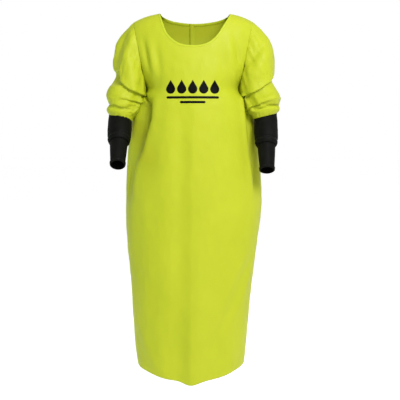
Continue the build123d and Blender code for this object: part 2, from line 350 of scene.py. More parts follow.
def half_ring(level):
    """One half of a level as offsets from its middle: front, side and back columns, evenly spaced in each."""
    _, half, front, middle, back, _ = level
    t_side = math.asin(max(middle / (middle - front), 0.0) ** (FRONT_POWER / 2))

    def front_arc(start, end):
        t = start + (end - start) * np.linspace(0.0, 1.0, 400)
        x = half * np.cos(t) ** (2 / FRONT_POWER)
        y = middle + (front - middle) * np.sin(t) ** (2 / FRONT_POWER)
        return np.stack([x, y], 1)

    ahead = resample(front_arc(math.pi / 2, t_side), FRONT_COLUMNS + 1)
    seam = min(BACK_SEAM_X, 0.9 * half)
    t_seam = math.acos((seam / half) ** (BACK_POWER / 2))
    t = t_seam * np.linspace(0.0, 1.0, 400) ** 1.5
    x = half * np.cos(t) ** (2 / BACK_POWER)
    y = middle + (back - middle) * np.sin(t) ** (2 / BACK_POWER)
    beside = np.concatenate([front_arc(t_side, 0.0), np.stack([x, y], 1)[1:]])
    side = resample(beside, SIDE_COLUMNS + 1)
    x = np.linspace(seam, BACK_EDGE_X, BACK_COLUMNS + 1)
    y = middle + (back - middle) * (1 - (x / half) ** BACK_POWER) ** (1 / BACK_POWER)
    return np.concatenate([ahead, side[1:], np.stack([x, y], 1)[1:]])


def body_grid():
    """Points of the plain body, rows down it and columns round it from the right back edge to the left one."""
    rows = []
    for level in PROFILE:
        z, drift = level[0], level[5]
        half = half_ring(level)
        faded = drift * np.clip((np.abs(half[:, 0]) - BACK_EDGE_X) / 0.03, 0.0, 1.0)
        ahead = np.arange(len(half)) <= FRONT_COLUMNS
        shift = np.where(ahead, drift, faded)
        left = np.stack([half[:, 0] + shift, half[:, 1], np.full(len(half), z)], 1)
        right = np.stack([-half[:, 0] + shift, half[:, 1], np.full(len(half), z)], 1)
        rows.append(np.concatenate([right[::-1], left[1:]]))
    return np.array(rows)


CENTRE = FRONT_COLUMNS + SIDE_COLUMNS + BACK_COLUMNS  # index of the centre front column


def grid_normals(points):
    down = np.gradient(points, axis=0)
    across = np.gradient(points, axis=1)
    normal = np.cross(down, across)
    return normal / np.maximum(np.linalg.norm(normal, axis=2, keepdims=True), 1e-12)


# ---- folds ----
def bump(d, before, after=None):
    """1 at d = 0, falling smoothly to 0 on both sides, over these widths."""
    width = before if after is None else np.where(d < 0, before, after)
    return np.exp(-((d / width) ** 2))


def fold(arc, path_arc, height, before, after=None):
    return height * bump(arc - path_arc, before, after)


def span(z, top, top_fade, bottom, bottom_fade):
    """1 between two heights, fading over a distance beyond each."""
    return smoothstep(top + top_fade, top, z) * smoothstep(bottom - bottom_fade, bottom, z)


def fold_arcs(grid, path):
    """Arc position, in each row, of a fold that passes through these x and z on the front."""
    z = grid[:, CENTRE, 2]
    path = sorted((pz, px) for px, pz in path)
    x = np.interp(z, [p[0] for p in path], [p[1] for p in path])
    lo, hi = CENTRE - FRONT_COLUMNS, CENTRE + FRONT_COLUMNS + 1
    arcs = np.empty(len(z))
    for i in range(len(z)):
        row = grid[i, lo:hi]
        along = running_length(row)
        along -= along[FRONT_COLUMNS]
        arcs[i] = np.interp(x[i], row[:, 0], along)
    return arcs[:, None]


def arc_grid(grid):
    arcs = []
    for row in grid:
        along = running_length(row)
        arcs.append(along - along[CENTRE])
    return np.array(arcs)


def soft_noise(points, scale, seed):
    """Smooth noise from -1 to 1 at every grid point, of this size."""
    flat = points.reshape(-1, 3) / scale + seed
    values = np.array([noise.noise(Vector(p)) for p in flat])
    return values.reshape(points.shape[:-1])


def body_folds(grid):
    """How far the cloth stands out of the plain body."""
    arc, z = arc_grid(grid), grid[:, :, 2]

    def at(path):
        return fold_arcs(grid, path)

    out = np.zeros(z.shape)
    # The long crease down the middle, with the softer ridge and hollow beside it.
    grow = 0.55 + 0.75 * smoothstep(-0.6, -1.2, z)
    middle = at([(0.006, -0.3), (0.002, -0.8), (-0.004, -1.27)])
    out += span(z, -0.46, 0.22, -1.4, 0.1) * grow * fold(arc, middle, 0.0095, 0.024, 0.080)
    hollow = at([(-0.034, -0.3), (-0.044, -0.8), (-0.048, -1.27)])
    out += span(z, -0.40, 0.2, -1.4, 0.1) * fold(arc, hollow, -0.0032, 0.024, 0.024)
    ridge = at([(-0.088, -0.3), (-0.094, -0.8), (-0.100, -1.27)])
    out += span(z, -0.36, 0.2, -1.15, 0.2) * fold(arc, ridge, 0.0040, 0.040, 0.034)
    # The cloth falls back into shade beside the right forearm, left of a slanting fold.
    edge = at([(-0.132, -0.29), (-0.137, -0.366), (-0.170, -0.471), (-0.194, -0.523), (-0.212, -0.66)])
    d = edge - arc
    step = smoothstep(-0.004, 0.030, d) * (1 - smoothstep(0.050, 0.105, d))
    lip = bump(d + 0.014, 0.020)
    keep = span(z, -0.325, 0.05, -0.52, 0.20)
    out += keep * (-0.026 * step + 0.0055 * lip)
    # The sharp crease from the left armpit down past the forearm.
    edge = at([(0.171, -0.29), (0.180, -0.366), (0.190, -0.46), (0.204, -0.575), (0.212, -0.66)])
    d = arc - edge
    step = smoothstep(-0.001, 0.006, d) * (1 - smoothstep(0.018, 0.062, d))
    lip = bump(d + 0.008, 0.012)
    keep = span(z, -0.30, 0.03, -0.54, 0.12)
    out += keep * (-0.021 * step + 0.0045 * lip)
    # A tuck runs down from the right armpit.
    tuck = at([(-0.166, -0.27), (-0.160, -0.34), (-0.172, -0.43)])
    out += span(z, -0.285, 0.02, -0.37, 0.08) * fold(arc, tuck, -0.0200, 0.010, 0.010)
    # Slack under the neck and drags towards the armpits.
    for x0, z0, x1, z1, height, width in (
        (-0.168, -0.105, -0.150, -0.200, -0.0075, 0.013),
        (-0.148, -0.110, -0.128, -0.215, 0.0050, 0.014),
        (-0.120, -0.130, -0.112, -0.230, -0.0045, 0.013),
        (0.140, -0.086, 0.166, -0.200, -0.0060, 0.012),
        (0.118, -0.090, 0.140, -0.230, 0.0040, 0.016),
        (0.086, -0.120, 0.104, -0.210, -0.0030, 0.015),
    ):
        mid, reach = (z0 + z1) / 2, (z0 - z1) / 2
        line = at([(x0, z0), (x1, z1)])
        out += bump(z - mid, reach) * fold(arc, line, height, width)
    # Slanting slack in the lower skirt, and low upright waves all round it.
    slant = arc + 0.55 * (z + 1.15)
    for centre, height, width in ((-0.150, 0.0015, 0.022), (-0.192, -0.0016, 0.020), (0.1, -0.003, 0.03)):
        out += span(z, -1.08, 0.08, -1.22, 0.03) * height * bump(slant - centre, width)
    slant = arc - 0.5 * (z + 0.95)
    for centre, height, width in ((0.130, 0.0028, 0.020), (0.170, -0.0030, 0.018), (0.205, 0.0022, 0.016)):
        out += span(z, -0.88, 0.07, -1.10, 0.08) * height * bump(slant - centre, width)
    lower = smoothstep(-0.35, -0.8, z)
    upright = np.stack([arc, 0.25 * z, np.zeros(z.shape)], 2)
    out += 0.0035 * lower * soft_noise(upright, 0.060, 3.1)
    out += 0.0012 * soft_noise(upright * np.array([1.0, 2.4, 1.0]), 0.022, 9.4)
    # The back hangs in broader waves below the waist tab.
    behind = smoothstep(0.02, 0.06, grid[:, :, 1])
    wave = np.sin(arc * 2 * math.pi / 0.085 + 1.3) + 0.6 * np.sin(arc * 2 * math.pi / 0.052)
    out += 0.0035 * behind * smoothstep(-0.52, -0.9, z) * wave
    # The hem flutters a little.
    out += 0.0016 * smoothstep(-1.15, -1.26, z) * np.sin(arc * 2 * math.pi / 0.11 + 0.6)
    return out * fold_mask(grid)


def fold_mask(grid):
    """0 along the neck and the armholes, where the cloth is held, and under the tabs. 1 elsewhere."""
    x, y, z = grid[:, :, 0], grid[:, :, 1], grid[:, :, 2]
    neck = smoothstep(0.012, 0.050, np.minimum(neck_z(x, y, z) - z, 1.0))
    neck = np.where(np.abs(x) > 0.128, 1.0, neck)
    gap = np.where(z > ARMHOLE_BOTTOM[1], armhole_x(z) - np.abs(x), 1.0)
    arm = smoothstep(0.003, 0.026, gap)
    foot = np.hypot(np.abs(x) - ARMHOLE_BOTTOM[0], z - ARMHOLE_BOTTOM[1])
    arm = arm * smoothstep(0.004, 0.030, foot)
    shoulder = smoothstep(-0.012, -0.05, z)
    tabs = np.where((y > 0) & (np.abs(x) < 0.10), smoothstep(-0.48, -0.56, z), 1.0)
    edge = smoothstep(0.004, 0.035, np.abs(x) - BACK_EDGE_X)
    return neck * arm * shoulder * tabs * np.where(y > 0.03, edge, 1.0)


# ---- meshes ----
def new_object(name, mesh):
    obj = bpy.data.objects.new(name, mesh)
    bpy.context.scene.collection.objects.link(obj)
    return obj


def grid_bmesh(points, cloth_uv, closed=False):
    """A quad mesh of rows and columns that keeps its flat-cloth coordinates on its points."""
    bm = bmesh.new()
    layer = bm.verts.layers.float_vector.new("cloth")
    rows, columns = points.shape[:2]
    verts = []
    for i in range(rows):
        for j in range(columns):
            v = bm.verts.new(points[i, j])
            v[layer] = (cloth_uv[i, j, 0], cloth_uv[i, j, 1], 0.0)
            verts.append(v)
    wrap = columns if closed else columns - 1
    for i in range(rows - 1):
        for j in range(wrap):
            k = (j + 1) % columns
            a, b = i * columns + j, i * columns + k
            bm.faces.new((verts[a], verts[a + columns], verts[b + columns], verts[b]))
    bm.normal_update()
    return bm


def trim(bm, field):
    """Cuts a cloth along field = 0 and keeps where it is negative."""
    value = {v: float(field(v.co)) for v in bm.verts}
    for edge in list(bm.edges):
        a, b = edge.verts
        if value[a] * value[b] < 0:
            part = value[a] / (value[a] - value[b])
            _, v = bmesh.utils.edge_split(edge, a, part)
            value[v] = 0.0
    for face in list(bm.faces):
        on = [v for v in face.verts if value[v] == 0.0]
        if len(on) == 2 and not any(e.other_vert(on[0]) == on[1] for e in on[0].link_edges):
            bmesh.utils.face_split(face, on[0], on[1])
    doomed = [f for f in bm.faces if any(value[v] > 0 for v in f.verts)]
    bmesh.ops.delete(bm, geom=doomed, context="FACES")
    loose = [v for v in bm.verts if not v.link_faces]
    bmesh.ops.delete(bm, geom=loose, context="VERTS")
    bm.normal_update()


def boundary_chains(bm, near):
    """Open edges whose both ends pass near(point), as lists of points in order."""
    links = {}
    for edge in bm.edges:
        if len(edge.link_faces) == 1 and all(near(v.co) for v in edge.verts):
            a, b = edge.verts
            links.setdefault(a, []).append(b)
            links.setdefault(b, []).append(a)
    chains, seen = [], set()
    starts = [v for v in links if len(links[v]) == 1] + list(links)
    for start in starts:
        if start in seen:
            continue
        chain, here = [start], start
        seen.add(start)
        while True:
            ahead = [v for v in links[here] if v not in seen]
            if not ahead:
                break
            here = ahead[0]
            seen.add(here)
            chain.append(here)
        chains.append(np.array([v.co[:] for v in chain]))
    return sorted(chains, key=lambda c: -running_length(c)[-1])


def weld_edge(bm, distance=EDGE_WELD):
    """Joins the points that a trim leaves too close together along the open edge."""
    edge = [v for v in bm.verts if v.is_boundary]
    bmesh.ops.remove_doubles(bm, verts=edge, dist=distance)


def object_from(name, bm):
    mesh = bpy.data.meshes.new(name)
    bm.to_mesh(mesh)
    bm.free()
    return new_object(name, mesh)


def smooth_shaded(obj):
    obj.data.polygons.foreach_set("use_smooth", [True] * len(obj.data.polygons))
    return obj


def finish_cloth(name, bm, thickness, offset=0.0):
    """Thickens a sheet into a closed piece with smooth shading."""
    obj = object_from(name, bm)
    wall = obj.modifiers.new("wall", "SOLIDIFY")
    wall.thickness = thickness
    wall.offset = offset
    wall.use_even_offset = False
    apply_modifiers(obj)
    return smooth_shaded(obj)


def apply_modifiers(obj):
    bpy.context.view_layer.update()
    shaped = obj.evaluated_get(bpy.context.evaluated_depsgraph_get())
    mesh = bpy.data.meshes.new_from_object(shaped)
    old = obj.data
    obj.modifiers.clear()
    obj.data = mesh
    bpy.data.meshes.remove(old)


def cloth_normal(tree, point):
    """Nearest place on a cloth, its outward normal."""
    place, normal, _, _ = tree.find_nearest(Vector(point))
    return np.array(place), np.array(normal)


def crosswise(tree, point, along):
    """The direction over a cloth that is square to a line on it."""
    _, normal = cloth_normal(tree, point)
    across = np.cross(normal, along)
    return across / np.linalg.norm(across)


def laid_strip(name, line, tree, width, height, thickness, columns=4):
    """A flat strip along a line, lying on the cloth. height is its middle's distance out of the cloth."""
    rows = []
    for point, along in zip(line, np.gradient(line, axis=0)):
        across = crosswise(tree, point, along)
        row = []
        for s in np.linspace(-width / 2, width / 2, columns + 1):
            place, face = cloth_normal(tree, point + across * s)
            row.append(place + face * height)
        rows.append(row)
    return finish_cloth(name, strip_bmesh(rows), thickness)


def strip_bmesh(rows):
    points = np.array(rows)
    bm = grid_bmesh(points, strip_uv(points))
    bmesh.ops.recalc_face_normals(bm, faces=bm.faces)
    return bm


def strip_uv(points):
    along = running_length(points[:, 0])
    across = running_length(points[0])
    u, v = np.meshgrid(across, along)
    return np.stack([u, v], 2)


def edge_binding(name, line, tree, width):
    """A folded tape over the neck's edge: down the outside, over the edge and down the inside."""
    outside = [(width, 0.35 * BINDING_RISE)] + [(share * width, BINDING_RISE) for share in (0.75, 0.4, 0.0)]
    rows = []
    for point, along in zip(line, np.gradient(line, axis=0)):
        into = crosswise(tree, point, along)
        if np.dot(into, point - NECK_HOLE) < 0:
            into = -into
        row = []
        for side, steps in ((1.0, outside), (-1.0, outside[::-1])):
            for depth, lift in steps:
                place, face = cloth_normal(tree, point + into * depth)
                row.append(place + side * face * lift)
            if side > 0:
                row.append(point - into * BINDING_RISE)
        rows.append(row)
    return finish_cloth(name, strip_bmesh(rows), BINDING_WALL)


def stitches(name, lines, tree, lift):
    """Rows of short raised threads along lines, lying on the cloth."""
    bm = bmesh.new()
    for line in lines:
        count = max(int(running_length(line)[-1] / STITCH_PITCH), 2)
        fine = resample(line, 2 * count + 1)
        for start, end in zip(fine[0:-1:2], fine[1::2]):
            add_stitch(bm, start, end, tree, lift)
    return smooth_shaded(object_from(name, bm))


def add_stitch(bm, start, end, tree, lift):
    place, normal = cloth_normal(tree, (start + end) / 2)
    along = end - start
    along /= max(np.linalg.norm(along), 1e-9)
    along -= normal * np.dot(along, normal)
    across = np.cross(normal, along)
    half, radius = STITCH_LENGTH / 2, STITCH_WIDTH / 2
    turns = [2 * math.pi * k / 6 for k in range(6)]
    rings = []
    for s, r in ((-1.0, 0.45), (-0.6, 1.0), (0.6, 1.0), (1.0, 0.45)):
        centre = place + normal * (lift - radius * 0.35) + along * s * half
        offsets = [math.cos(a) * across + math.sin(a) * normal for a in turns]
        rings.append([bm.verts.new(centre + radius * r * offset) for offset in offsets])
    for a, b in zip(rings, rings[1:]):
        for k in range(6):
            m = (k + 1) % 6
            bm.faces.new((a[k], a[m], b[m], b[k]))
    bm.faces.new(rings[0][::-1])
    bm.faces.new(rings[-1])


# ---- body pieces ----
def body_uv(plain):
    arc = arc_grid(plain)
    down = running_length(PROFILE[:, :2])
    down = np.repeat(down[:, None], arc.shape[1], axis=1)
    return np.stack([arc, down], 2)


def neck_field(p):
    return p.z - float(neck_z(p.x, p.y, p.z))


def hem_field(p):
    return float(hem_z(p.x)) - p.z


def armhole_field(p):
    return min(abs(p.x) - float(armhole_x(p.z)), p.z - ARMHOLE_BOTTOM[1])


def on_neck(p):
    return abs(neck_field(p)) < 0.005 and p.z > -0.125


def on_armhole(p):
    return p.z > ARMHOLE_BOTTOM[1] - 0.004 and abs(abs(p.x) - float(armhole_x(p.z))) < 0.0006


def on_hem(p):
    return abs(hem_field(p)) < 0.0006 and p.z < -1.1


def with_underlap(points, uv):
    """Carries the left back cloth's free edge on under the right one."""
    steps = np.array([(x, y, 0.0) for x, y in UNDERLAP])
    aside = np.stack([-steps[:, 0], np.zeros(len(steps))], 1)
    return np.concatenate([points, points[:, -1:] + steps], 1), np.concatenate([uv, uv[:, -1:] + aside], 1)


def body_cloth(points, uv, first, last, underlap=False):
    """The columns from first to last, trimmed at the neck, the armholes and the hem."""
    columns = slice(CENTRE + first, CENTRE + last + 1)
    points, uv = points[:, columns], uv[:, columns]
    if underlap:
        points, uv = with_underlap(points, uv)
    bm = grid_bmesh(points, uv)
    for field in (neck_field, armhole_field, hem_field):
        trim(bm, field)
    weld_edge(bm)
    return bm


def make_body():
    """Front, side and back cloths, and the lines and surfaces that other pieces are laid on."""
    plain = body_grid()
    points = plain + grid_normals(plain) * body_folds(plain)[:, :, None]
    uv = body_uv(plain)
    side_end = FRONT_COLUMNS + SIDE_COLUMNS
    spans = {
        "front_cloth": (-FRONT_COLUMNS, FRONT_COLUMNS),
        "left_side_cloth": (FRONT_COLUMNS, side_end),
        "right_side_cloth": (-side_end, -FRONT_COLUMNS),
        "left_back_cloth": (side_end, CENTRE),
        "right_back_cloth": (-CENTRE, -side_end),
    }
    body = {}
    for name, (first, last) in spans.items():
        bm = body_cloth(points, uv, first, last, name == "left_back_cloth")
        tree = BVHTree.FromBMesh(bm)
        lines = {"neck": boundary_chains(bm, on_neck), "hem": boundary_chains(bm, on_hem)}
        for side, sign in SIDES.items():
            lines[side] = boundary_chains(bm, lambda p: on_armhole(p) and p.x * sign > 0)
        obj = finish_cloth(name, bm, CLOTH)
        body[name] = {"obj": obj, "tree": tree, "lines": lines}
    return body, points, uv


# ---- sleeves ----
def armhole_ring(body, side, count):
    """The body's armhole edge: down the front from the top, then up the back, evenly in each half."""
    front = body["front_cloth"]["lines"][side][0]
    back = body[f"{side}_side_cloth"]["lines"][side][0]
    if front[0, 2] < front[-1, 2]:
        front = front[::-1]
    if back[0, 2] > back[-1, 2]:
        back = back[::-1]
    half = count // 2
    ahead = resample(front, half + 1)
    behind = resample(back, half + 1)
    return np.concatenate([ahead[:-1], behind[:-1]])


def sleeve_key_ring(row, sign, count):
    outer_x, outer_z, inner_x, inner_z, middle, depth = row
    t = np.linspace(0.0, math.pi, 400)
    across = np.copysign(np.abs(np.cos(t)) ** (2 / SLEEVE_POWER), np.cos(t))
    ahead = np.sin(t) ** (2 / SLEEVE_POWER)
    x = (outer_x + inner_x) / 2 + across * (outer_x - inner_x) / 2
    z = (outer_z + inner_z) / 2 + across * (outer_z - inner_z) / 2
    halves = []
    for way in (1, -1):
        arc = np.stack([sign * x, middle - way * depth * ahead, z], 1)[::way]
        halves.append(resample(arc, count // 2 + 1)[:-1])
    return np.concatenate(halves)


def sleeve_grid(body, side):
    rings = [armhole_ring(body, side, SLEEVE_COLUMNS)]
    rings += [sleeve_key_ring(row, SIDES[side], SLEEVE_COLUMNS) for row in SLEEVE_RINGS[side]]
    rings = np.array(rings)
    keys = (running_length(rings[:, 0]) + running_length(rings[:, SLEEVE_COLUMNS // 4])) / 2
    return hermite(keys, rings, np.linspace(0.0, keys[-1], SLEEVE_ROWS))


def sleeve_places(grid):
    """Fractions down the sleeve and round it."""
    rows, columns = grid.shape[:2]
    down = np.linspace(0.0, 1.0, rows)[:, None] + np.zeros((1, columns))
    around = np.linspace(0.0, 1.0, columns, endpoint=False)[None, :] + np.zeros((rows, 1))
    return down, around


def sleeve_folds(grid, side):
    """Gathers at the hem, soft creases on the front and a little crumpling."""
    down, around = sleeve_places(grid)
    x, y, z = np.abs(grid[:, :, 0]), grid[:, :, 1], grid[:, :, 2]
    out = np.zeros(down.shape)
    facing = smoothstep(-0.010, -0.050, y)
    for x0, z0, x1, z1, height, width in SLEEVE_CREASES[side]:
        length = math.hypot(x1 - x0, z1 - z0)
        ux, uz = (x1 - x0) / length, (z1 - z0) / length
        along = (x - x0) * ux + (z - z0) * uz
        aside = (x - x0) * uz - (z - z0) * ux
        ends = smoothstep(-0.012, 0.018, along) * smoothstep(length + 0.012, length - 0.018, along)
        out += height * facing * ends * bump(aside, width)
    angle = 2 * math.pi * around
    gather = np.sin(17 * angle + 2.2 * np.sin(3 * angle)) + 0.6 * np.sin(29 * angle + 0.8)
    near_hem = bump(down - 0.97, 0.05) * smoothstep(1.0, 0.97, down)
    out += 0.0007 * near_hem * gather
    closed = smoothstep(0.0, 0.06, down) * smoothstep(1.005, 0.95, down)
    out += 0.0030 * soft_noise(grid, 0.060, 5.7) * closed
    out += 0.0012 * soft_noise(grid, 0.024, 1.9) * closed
    return out


def lapped(grid, side):
    """Lets the slack lap over itself in crescents round the elbow."""
    rows = grid.shape[0]
    fine = np.linspace(0.0, 1.0, SLEEVE_FINE_ROWS)
    grid = hermite(np.linspace(0.0, 1.0, rows), grid, fine)
    down, around = sleeve_places(grid)
    inner = 1.0 - np.abs(2.0 * around - 1.0)
    shift, out = np.zeros(down.shape), np.zeros(down.shape)
    for place, rise, width, lap, height, centre, spread in OVERHANGS[side]:
        share = bump(around - centre, spread) + bump(around - centre - 1.0, spread)
        middle = place - rise * smoothstep(0.45, 0.95, inner) + 0.02 * np.sin(4 * math.pi * around + place * 9)
        t = (down - middle) / width
        lobe = -t * np.exp((1.0 - t * t) / 2.0)
        shift += lap * share * lobe
        out += height * share * lobe
    normal = outward(grid)
    target = np.clip(down + shift, 0.0, 1.0) * (SLEEVE_FINE_ROWS - 1)
    low = np.minimum(target.astype(int), SLEEVE_FINE_ROWS - 2)
    part = (target - low)[:, :, None]
    columns = np.arange(grid.shape[1])[None, :] + np.zeros(low.shape, int)
    moved = grid[low, columns] * (1 - part) + grid[low + 1, columns] * part
    return moved + normal * out[:, :, None]


def outward(grid):
    """Normals of a tube of rings, pointing out of it."""
    down = np.gradient(grid, axis=0)
    across = np.roll(grid, -1, 1) - np.roll(grid, 1, 1)
    normal = np.cross(down, across)
    normal /= np.maximum(np.linalg.norm(normal, axis=2, keepdims=True), 1e-12)
    centre = grid.mean(axis=1, keepdims=True)
    if np.sum(normal * (grid - centre)) < 0:
        normal = -normal
    return normal


def tube_bmesh(points):
    """A closed tube of rings whose faces point outwards."""
    bm = grid_bmesh(points, tube_uv(points), closed=True)
    centre = Vector(points.mean(axis=(0, 1)))
    if sum(f.normal.dot(f.calc_center_median() - centre) for f in bm.faces) < 0:
        bmesh.ops.reverse_faces(bm, faces=bm.faces)
    bm.normal_update()
    return bm


ARM_SHARE = 0.70  # size of the arm inside, against the sleeve
HELD_ROWS = 4  # rows at the hem that stay where they are
SLACK = 0.11  # how much longer the falling cloth is than its shape
FALL_FRAMES = 30
FALL_CAP = 0.016  # furthest that a point may fall, before its share is taken
SIM_SETTINGS = {
    "quality": 7,
    "mass": 0.12,
    "tension_stiffness": 25.0,
    "compression_stiffness": 25.0,
    "shear_stiffness": 8.0,
    "bending_stiffness": 0.12,
    "air_damping": 2.0,
    "vertex_group_mass": "held",
    "shrink_min": -SLACK,
    "use_pressure": True,
    "uniform_pressure_force": 0.35,
}


def arm_inside(grid):
    """A slimmer tube inside a sleeve, which the falling cloth rests on."""
    centre = grid.mean(axis=1, keepdims=True)
    thin = centre + (grid - centre) * ARM_SHARE
    arm = object_from("arm_inside", tube_bmesh(thin))
    arm.modifiers.new("collision", "COLLISION")
    arm.collision.thickness_outer = 0.002
    return arm


def fall(grid, name):
    """Lets a sleeve's spare cloth fall and crumple between its armhole and its hem, which are held."""
    rows, columns = grid.shape[:2]
    cloth = object_from(name, tube_bmesh(grid))
    held = cloth.vertex_groups.new(name="held")
    last = rows - HELD_ROWS
    ends = [i * columns + j for i in range(rows) if i < 2 or i >= last for j in range(columns)]
    held.add(ends, 1.0, "REPLACE")
    arm = arm_inside(grid)
    sim = cloth.modifiers.new("cloth", "CLOTH")
    for setting, value in SIM_SETTINGS.items():
        setattr(sim.settings, setting, value)
    sim.collision_settings.collision_quality = 3
    sim.collision_settings.distance_min = 0.003
    sim.collision_settings.use_self_collision = False
    scene = bpy.context.scene
    for frame_number in range(1, FALL_FRAMES + 1):
        scene.frame_set(frame_number)
    shaped = cloth.evaluated_get(bpy.context.evaluated_depsgraph_get())
    co = np.zeros(rows * columns * 3)
    shaped.data.vertices.foreach_get("co", co)
    fallen = co.reshape(grid.shape)
    bpy.data.objects.remove(cloth)
    bpy.data.objects.remove(arm)
    scene.frame_set(1)
    moved = fallen - grid
    far = np.linalg.norm(moved, axis=2, keepdims=True)
    down = np.linspace(0.0, 1.0, rows)[:, None, None]
    share = (0.25 + 0.35 * smoothstep(0.35, 0.60, down)) * smoothstep(1.0, 0.80, down)
    return grid + share * moved * np.minimum(1.0, FALL_CAP / np.maximum(far, 1e-9))


def make_sleeve(body, side):
    grid = sleeve_grid(body, side)
    grid = grid + outward(grid) * sleeve_folds(grid, side)[:, :, None]
    grid = fall(grid, f"{side}_falling_sleeve")
    grid = lapped(grid, side)
    return finish_cloth(f"{side}_sleeve_cloth", tube_bmesh(grid), CLOTH), grid


# ---- forearm sleeves and cuffs ----
def forearm_way(side):
    """Unit vectors down the leaning forearm and ahead of it."""
    aside, down = math.sin(FOREARM_LEAN[side]), math.cos(FOREARM_LEAN[side])
    return np.array([0.0, -aside, -down]), np.array([0.0, -down, aside])


def forearm_top(side):
    return np.array(FOREARM_TOP) * np.array([SIDES[side], 1.0, 1.0])


def forearm_grid(side, rings, rows):
    """A tube down the leaning forearm."""
    down, ahead = forearm_way(side)
    right = np.array([1.0, 0.0, 0.0])
    rings = np.array(rings)
    sizes = hermite(rings[:, 0], rings, np.linspace(rings[0, 0], rings[-1, 0], rows))
    t = np.linspace(0.0, 2 * math.pi, TUBE_COLUMNS, endpoint=False)[None, :, None]
    distance, half, depth = (sizes[:, k][:, None, None] for k in range(3))
    return forearm_top(side) + down * distance + right * half * np.cos(t) + ahead * depth * np.sin(t)


def forearm_wrinkles(grid):
    """Shallow creases across the forearm sleeve, and the groove above its step."""
    distance = np.linspace(FOREARM_RINGS[0][0], FOREARM_RINGS[-1][0], len(grid))[:, None]
    out = 0.0007 * soft_noise(grid * np.array([0.5, 0.5, 1.6]), 0.020, 4.2)
    out += 0.0010 * soft_noise(grid, 0.045, 8.8)
    return out - 0.0014 * bump(distance - FOREARM_STEP, 0.0035)


def cuff_band_rings():
    """Rings of the band round the cuff's end, which wraps over it."""
    near_end = CUFF_RINGS[-2:]
    start = CUFF_END - CUFF_BAND
    half, depth = (np.interp(start, [r[0] for r in near_end], [r[k] for r in near_end]) for k in (1, 2))
    _, end_half, end_depth = CUFF_RINGS[-1]
    places = [
        (start - 0.0004, half, depth, 0.0002),
        (start, half, depth, BAND_RISE),
        (start + 0.0045, half - 0.0003, depth - 0.0003, BAND_RISE),
        (CUFF_END, end_half, end_depth, BAND_RISE),
        (CUFF_END + 0.0010, end_half, end_depth, -0.0006),
    ]
    return [(distance, half + rise, depth + rise) for distance, half, depth, rise in places]


def make_forearm(side):
    """The forearm sleeve, the cuff, its band and their stitches."""

    def tube(name, grid, wall):
        bm = tube_bmesh(grid)
        tree = BVHTree.FromBMesh(bm)
        return finish_cloth(f"{side}_{name}", bm, wall, -1.0), tree

    def sewn(name, grid, rows, tree):
        rings = [grid[row] for row in rows]
        return stitches(f"{side}_{name}", [np.concatenate([ring, ring[:1]]) for ring in rings], tree, 0.0)

    grid = forearm_grid(side, FOREARM_RINGS, 90)
    grid = grid + outward(grid) * forearm_wrinkles(grid)[:, :, None]
    sleeve, tree = tube("forearm_tube", grid, NEOPRENE)
    cuff_grid = forearm_grid(side, CUFF_RINGS, 70)
    ribs = 0.00025 * np.sin(np.arange(TUBE_COLUMNS) * 2 * math.pi / 3)[None, :, None]
    cuff, _ = tube("cuff_tube", cuff_grid + outward(cuff_grid) * ribs, CUFF_WALL)
    band_grid = forearm_grid(side, cuff_band_rings(), 16)
    band, band_tree = tube("cuff_binding", band_grid, BAND_WALL)
    upper = sewn("forearm_stitches", grid, [int(len(grid) * share) for share in THREAD_ROWS], tree)
    lower = sewn("cuff_stitches", band_grid, [BAND_THREAD_ROW], band_tree)
    return {"sleeve": sleeve, "cuff": cuff, "band": band, "threads": [upper, lower]}


def tube_uv(grid):
    closed = np.concatenate([grid, grid[:, :1]], axis=1)
    around = np.array([running_length(row)[:-1] for row in closed])
    down = running_length(grid[:, 0])
    return np.stack([around, np.repeat(down[:, None], grid.shape[1], axis=1)], 2)


def make_elastic(side, grid):
    """Ribbed elastic inside the sleeve's hem."""
    inner = grid - outward(grid) * 0.0014
    down = running_length(inner[:, 0])
    rows = [i for i in range(len(down)) if 0.003 <= down[-1] - down[i] <= 0.017]
    band = np.repeat(inner[rows[0] : rows[-1] + 1], 3, axis=1)
    spread = np.roll(band, -3, 1)
    for k in (1, 2):
        band[:, k::3] = band[:, 0::3] + (spread[:, 0::3] - band[:, 0::3]) * k / 3
    ribs = 0.0003 * np.sin(np.arange(band.shape[1]) * 2 * math.pi / 4)[None, :, None]
    band = band + outward(band) * ribs
    return finish_cloth(f"{side}_hem_elastic", tube_bmesh(band), BAND_WALL, -1.0)


# ---- print, tabs and trims ----
def drop_field(x, z):
    """Below 0 inside a water drop: a disc with a pointed top."""
    tip = 2 * DROP_RADIUS
    slope = math.asin(DROP_RADIUS / tip)
    if z < DROP_RADIUS * math.sin(slope):
        return math.hypot(x, z) - DROP_RADIUS
    return abs(x) * math.cos(slope) + (z - tip) * math.sin(slope)


def bar_field(x, z, half):
    """Below 0 inside a bar with round ends, its middle at 0."""
    dx = max(abs(x) - (half - BAR_HEIGHT / 2), 0.0)
    return math.hypot(dx, z) - BAR_HEIGHT / 2


def printed_patch(tree, centre_x, centre_z, half_x, low_z, high_z, field, cell):
    """One printed shape on the front cloth."""
    xs = np.linspace(-half_x, half_x, int(2 * half_x / cell) + 2)
    zs = np.linspace(high_z, low_z, int((high_z - low_z) / cell) + 2)
    points = np.zeros((len(zs), len(xs), 3))
    for i, dz in enumerate(zs):
        for j, dx in enumerate(xs):
            start = Vector((centre_x + dx, -0.4, centre_z + dz))
            place, normal, _, _ = tree.ray_cast(start, Vector((0.0, 1.0, 0.0)))
            points[i, j] = np.array(place) + np.array(normal) * (CLOTH / 2 + PRINT / 2 + 0.00005)
    bm = grid_bmesh(points, strip_uv(points))
    trim(bm, lambda p: field(p.x - centre_x, p.z - centre_z))
    weld_edge(bm, 0.2 * MM)
    return bm


